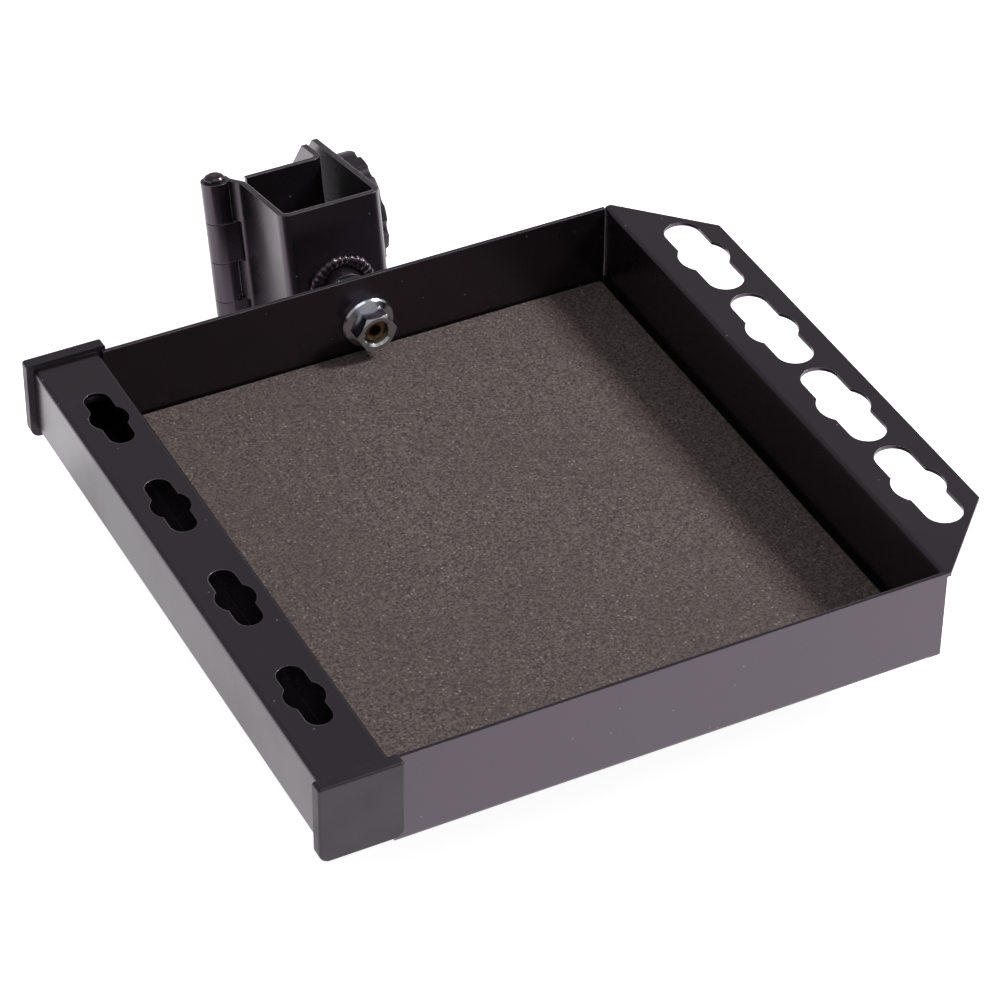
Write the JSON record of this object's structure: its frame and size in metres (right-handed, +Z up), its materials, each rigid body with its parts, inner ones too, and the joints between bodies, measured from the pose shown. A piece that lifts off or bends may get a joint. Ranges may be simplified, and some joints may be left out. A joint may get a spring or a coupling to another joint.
{
  "type": "clamp-on tool tray",
  "caption": "Shallow steel tool tray with slotted tool rails and a foam mat, swivelling on a bolt behind a hinged mast clamp closed by a star knob.",
  "frame": {"origin": "centre of the mast opening at the clamp's mid-height", "axes": "+X right, +Y from the tray towards the mast, +Z up; the tray is level and the mast leans back 11.5 degrees from +Z"},
  "size_m": [0.2792, 0.3642, 0.0795],
  "materials": {
    "black": "satin powder coat",
    "plastic": "semi-matt moulded",
    "foam": "matt foam sheet",
    "zinc": "bright zinc",
    "gold": "yellow zinc"
  },
  "bodies": {
    "clamp": {"clamp_body": "black", "hinge_pin": "black", "hinge_pin_clip": "zinc", "pivot_bolt": "gold", "boss_weld": "black", "pivot_boss": "black", "plate_nut": "zinc", "wall_nut": "zinc", "wall_lock_washer": "zinc", "wall_washer": "zinc", "tray_flange_nut": "zinc"},
    "tray": {"tray_pan": "black", "foam_mat": "foam", "front_end_cap": "plastic", "back_end_cap": "plastic"},
    "door": {"clamp_door": "black", "ear_nut": "zinc"},
    "knob_carrier": {"knob_washer": "zinc"},
    "knob": {"star_knob": "plastic", "knob_bolt": "zinc"}
  },
  "joints": [
    {"name": "tray_swivel", "type": "hinge", "parent": "clamp", "child": "tray", "pos_m": [0, -0.0455, 0.002], "axis": [0, 1, 0], "range_deg": [-90, 90]},
    {"name": "door_hinge", "type": "hinge", "parent": "clamp", "child": "door", "pos_m": [-0.0289, 0.02592, -0.00527], "axis": [0, 0.1994, 0.9799], "range_deg": [0, 105]},
    {"name": "knob_travel", "type": "slide", "parent": "clamp", "child": "knob_carrier", "axis": [1, 0, 0], "range_m": [-0.006, 0]},
    {"name": "knob_turn", "type": "hinge", "parent": "knob_carrier", "child": "knob", "pos_m": [0.0277, 0.03616, -0.00736], "axis": [1, 0, 0], "range_deg": [-1728, 0]}
  ],
  "couplings": [
    {"joint": "knob_travel", "follows": "knob_turn", "m_per_rad": 0.00019894}
  ]
}
